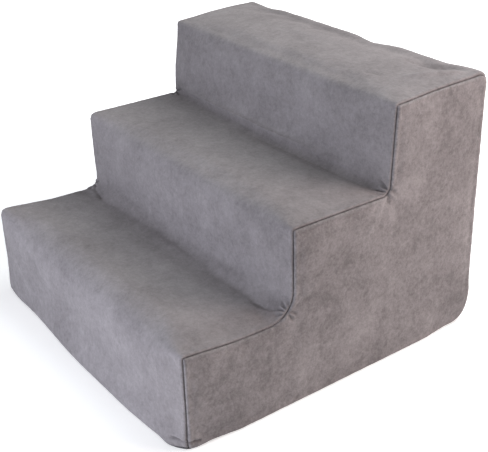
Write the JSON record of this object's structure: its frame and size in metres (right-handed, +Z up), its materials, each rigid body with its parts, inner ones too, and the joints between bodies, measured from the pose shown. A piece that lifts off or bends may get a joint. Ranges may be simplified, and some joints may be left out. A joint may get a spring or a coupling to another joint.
{
  "type": "pet stairs",
  "caption": "Low foam pet stairs with level treads in a suede-look fabric cover that zips open across the back.",
  "frame": {"origin": "middle of the footprint, on the floor; the zip pull stands 2.8 mm proud of the back and moves the box's middle by less than 2 mm", "axes": "+X across the treads to the right-hand side seen from the front, +Y from the front riser to the back, +Z up"},
  "size_m": [0.4, 0.3978, 0.3029],
  "materials": {
    "foam": "open-cell foam",
    "cover_fabric": "brushed suede",
    "non_slip_fabric": "canvas with rubber dots",
    "zip_tape": "woven tape",
    "zip_plastic": "moulded plastic",
    "zip_metal": "satin enamel"
  },
  "bodies": {
    "stairs": {"foam_slab_bottom": "foam", "foam_slab_middle": "foam", "foam_slab_top": "foam", "step_panel": "cover_fabric", "side_panel_right": "cover_fabric", "side_panel_left": "cover_fabric", "back_panel_upper": "cover_fabric", "back_panel_lower": "cover_fabric", "bottom_panel": "non_slip_fabric", "zip_tape_upper": "zip_tape", "zip_tape_lower": "zip_tape", "zip_teeth_upper": "zip_plastic", "zip_teeth_lower": "zip_plastic", "zip_top_stops": "zip_plastic", "zip_bottom_stop": "zip_plastic"},
    "slider": {"zip_slider": "zip_metal"},
    "pull": {"zip_pull": "zip_metal"}
  },
  "joints": [
    {"name": "zip_slide", "type": "slide", "parent": "stairs", "child": "slider", "axis": [-1, 0, 0], "range_m": [0, 0.3265], "deforming": ["zip_teeth_upper", "zip_teeth_lower"]},
    {"name": "pull_swing", "type": "hinge", "parent": "slider", "child": "pull", "pos_m": [0.16375, 0.1987, 0.052], "axis": [0, 0, -1], "range_deg": [0, 180]}
  ]
}
